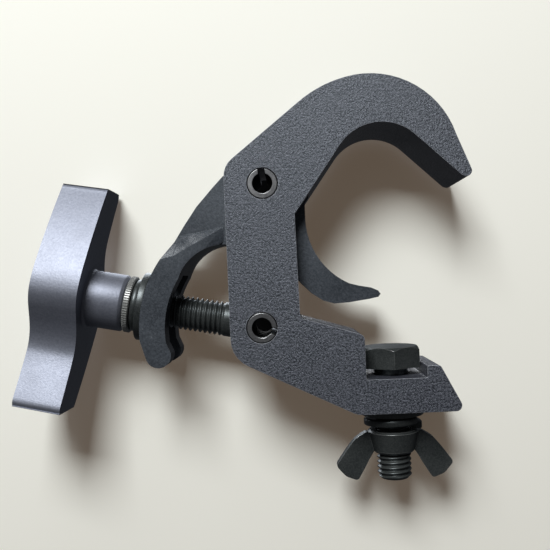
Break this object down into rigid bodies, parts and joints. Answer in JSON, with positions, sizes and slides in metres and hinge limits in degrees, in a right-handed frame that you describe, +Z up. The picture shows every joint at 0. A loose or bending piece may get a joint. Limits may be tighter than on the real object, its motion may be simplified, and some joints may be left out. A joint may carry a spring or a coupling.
{
  "type": "pipe clamp",
  "caption": "Quick-trigger hook clamp for a 50 mm stage tube, with a hinged jaw, a swinging clamp screw with a T-handle, and a fixture bolt with a wing nut.",
  "frame": {"origin": "centre of the clamped tube, half way across the clamp's width", "axes": "+Z up from the fixture to the tube, +X towards the open mouth, +Y along the tube"},
  "size_m": [0.156, 0.0348, 0.1392],
  "materials": {
    "powder_coat": "textured black powder coat",
    "satin_black": "satin black",
    "handle_coat": "satin charcoal with a fine grain",
    "black_oxide": "oiled black oxide",
    "bright_steel": "bright steel"
  },
  "bodies": {
    "frame": {"hook_body": "powder_coat", "arm_pivot_pin": "bright_steel", "eye_bolt_pin": "bright_steel", "fixture_bolt": "black_oxide"},
    "arm": {"trigger_arm": "satin_black"},
    "screw": {"eye_bolt": "black_oxide"},
    "screw_washers": {"handle_flat_washer": "black_oxide", "handle_spring_washer": "black_oxide"},
    "handle": {"t_handle": "handle_coat", "handle_insert": "bright_steel"},
    "fixture_washers": {"fixture_flat_washer": "black_oxide", "fixture_spring_washer": "black_oxide"},
    "nut": {"wing_nut": "black_oxide"}
  },
  "joints": [
    {"name": "arm_hinge", "type": "hinge", "parent": "frame", "child": "arm", "pos_m": [-0.0414, 0, 0.0106], "axis": [0, -1, 0], "range_deg": [-10.5, 6]},
    {"name": "screw_swing", "type": "hinge", "parent": "frame", "child": "screw", "pos_m": [-0.0434, 0, -0.0376], "axis": [0, -1, 0], "range_deg": [0, 75]},
    {"name": "screw_travel", "type": "slide", "parent": "screw", "child": "screw_washers", "axis": [0.981, 0, -0.1942], "range_m": [-0.0088, 0.005]},
    {"name": "handle_spin", "type": "hinge", "parent": "screw_washers", "child": "handle", "pos_m": [-0.0434, 0, -0.0376], "axis": [0.981, 0, -0.1942], "range_deg": [-1800, 1025]},
    {"name": "nut_travel", "type": "slide", "parent": "frame", "child": "fixture_washers", "axis": [0, 0, -1], "range_m": [0, 0.008]},
    {"name": "nut_spin", "type": "hinge", "parent": "fixture_washers", "child": "nut", "pos_m": [0.001, 0, -0.08], "axis": [0, 0, -1], "range_deg": [0, 1645]}
  ],
  "couplings": [
    {"joint": "screw_travel", "follows": "handle_spin", "m_per_rad": 0.00027852},
    {"joint": "arm_hinge", "follows": "handle_spin", "ratio": 0.0058025},
    {"joint": "nut_travel", "follows": "nut_spin", "m_per_rad": 0.00027852}
  ]
}
